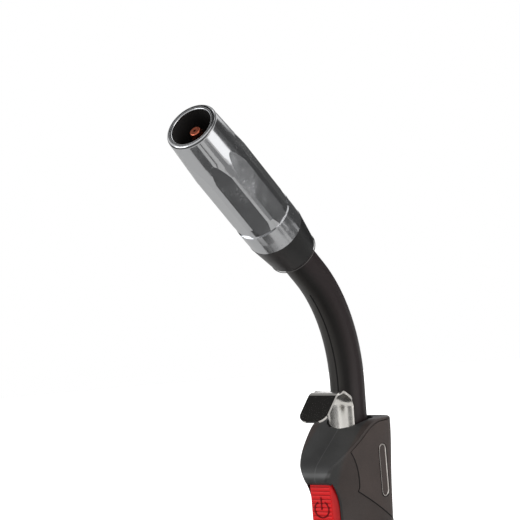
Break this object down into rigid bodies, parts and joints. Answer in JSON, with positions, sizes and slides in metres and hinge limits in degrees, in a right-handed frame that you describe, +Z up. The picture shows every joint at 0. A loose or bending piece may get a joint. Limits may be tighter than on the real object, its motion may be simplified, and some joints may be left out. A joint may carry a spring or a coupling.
{
  "type": "MIG welding torch",
  "caption": "Gas-cooled MIG welding torch: plated gas nozzle, insulating ring, bent neck, hanging hook and moulded handle with a rocking trigger.",
  "frame": {"origin": "middle of the hose inlet's mouth, at the rear end of the handle", "axes": "+Z up the handle along its neck axis, -Y to the side that the trigger and the nozzle face, +X to the right side of someone who looks along +Y"},
  "size_m": [0.0338, 0.131, 0.2798],
  "materials": {
    "nozzle_plating": "bright nickel-plated",
    "copper": "turned copper",
    "brass": "turned brass",
    "ceramic": "moulded insulating sleeve",
    "steel": "plain steel",
    "black_moulding": "satin black moulding",
    "black_tube": "satin black jacket on the tube",
    "white_insulation": "plain insulation",
    "seal_rubber": "rubber",
    "handle_moulding": "fine-grained dark moulding",
    "cover_moulding": "fine-grained dark moulding",
    "badge_plate": "thin bare plate",
    "hook_steel": "bright spring steel",
    "red_moulding": "red moulding",
    "switch_moulding": "black moulding",
    "lead_insulation": "insulated leads"
  },
  "bodies": {
    "body": {"contact_tip": "copper", "tip_holder": "brass", "spatter_guard": "ceramic", "nozzle_spring": "steel", "insulating_ring": "black_moulding", "neck_head": "brass", "neck_sleeve": "black_tube", "neck_insulation": "white_insulation", "neck_conductor": "copper", "wire_liner": "steel", "neck_plug": "brass", "plug_o_rings": "seal_rubber", "neck_nut": "brass", "connector_block": "brass", "hose_nipple": "brass", "left_shell": "handle_moulding", "right_shell": "handle_moulding", "left_side_cover": "cover_moulding", "right_side_cover": "cover_moulding", "badge_plate": "badge_plate", "shell_screws": "steel", "rear_collar": "black_moulding", "hose_bush": "seal_rubber", "hanging_hook": "hook_steel", "trigger_pin": "steel", "trigger_spring": "steel", "switch_body": "switch_moulding", "switch_terminals": "copper", "switch_leads": "lead_insulation", "lead_plug": "white_insulation"},
    "trigger": {"trigger": "red_moulding"},
    "plunger": {"switch_plunger": "red_moulding"},
    "nozzle": {"gas_nozzle": "nozzle_plating"}
  },
  "joints": [
    {"name": "trigger_rock", "type": "hinge", "parent": "body", "child": "trigger", "pos_m": [0, -0.02, 0.066], "axis": [-1, 0, 0], "range_deg": [0, 3.4], "stiffness_Nm_per_rad": 2, "springref_deg": -5.73, "deforming": ["trigger_spring"]},
    {"name": "plunger_slide", "type": "slide", "parent": "body", "child": "plunger", "axis": [0, 1, 0], "range_m": [0, 0.00175]},
    {"name": "nozzle_pull", "type": "slide", "parent": "body", "child": "nozzle", "axis": [0, -0.766, 0.6428], "range_m": [0, 0.014]}
  ],
  "couplings": [
    {"joint": "plunger_slide", "follows": "trigger_rock", "m_per_rad": 0.029}
  ]
}
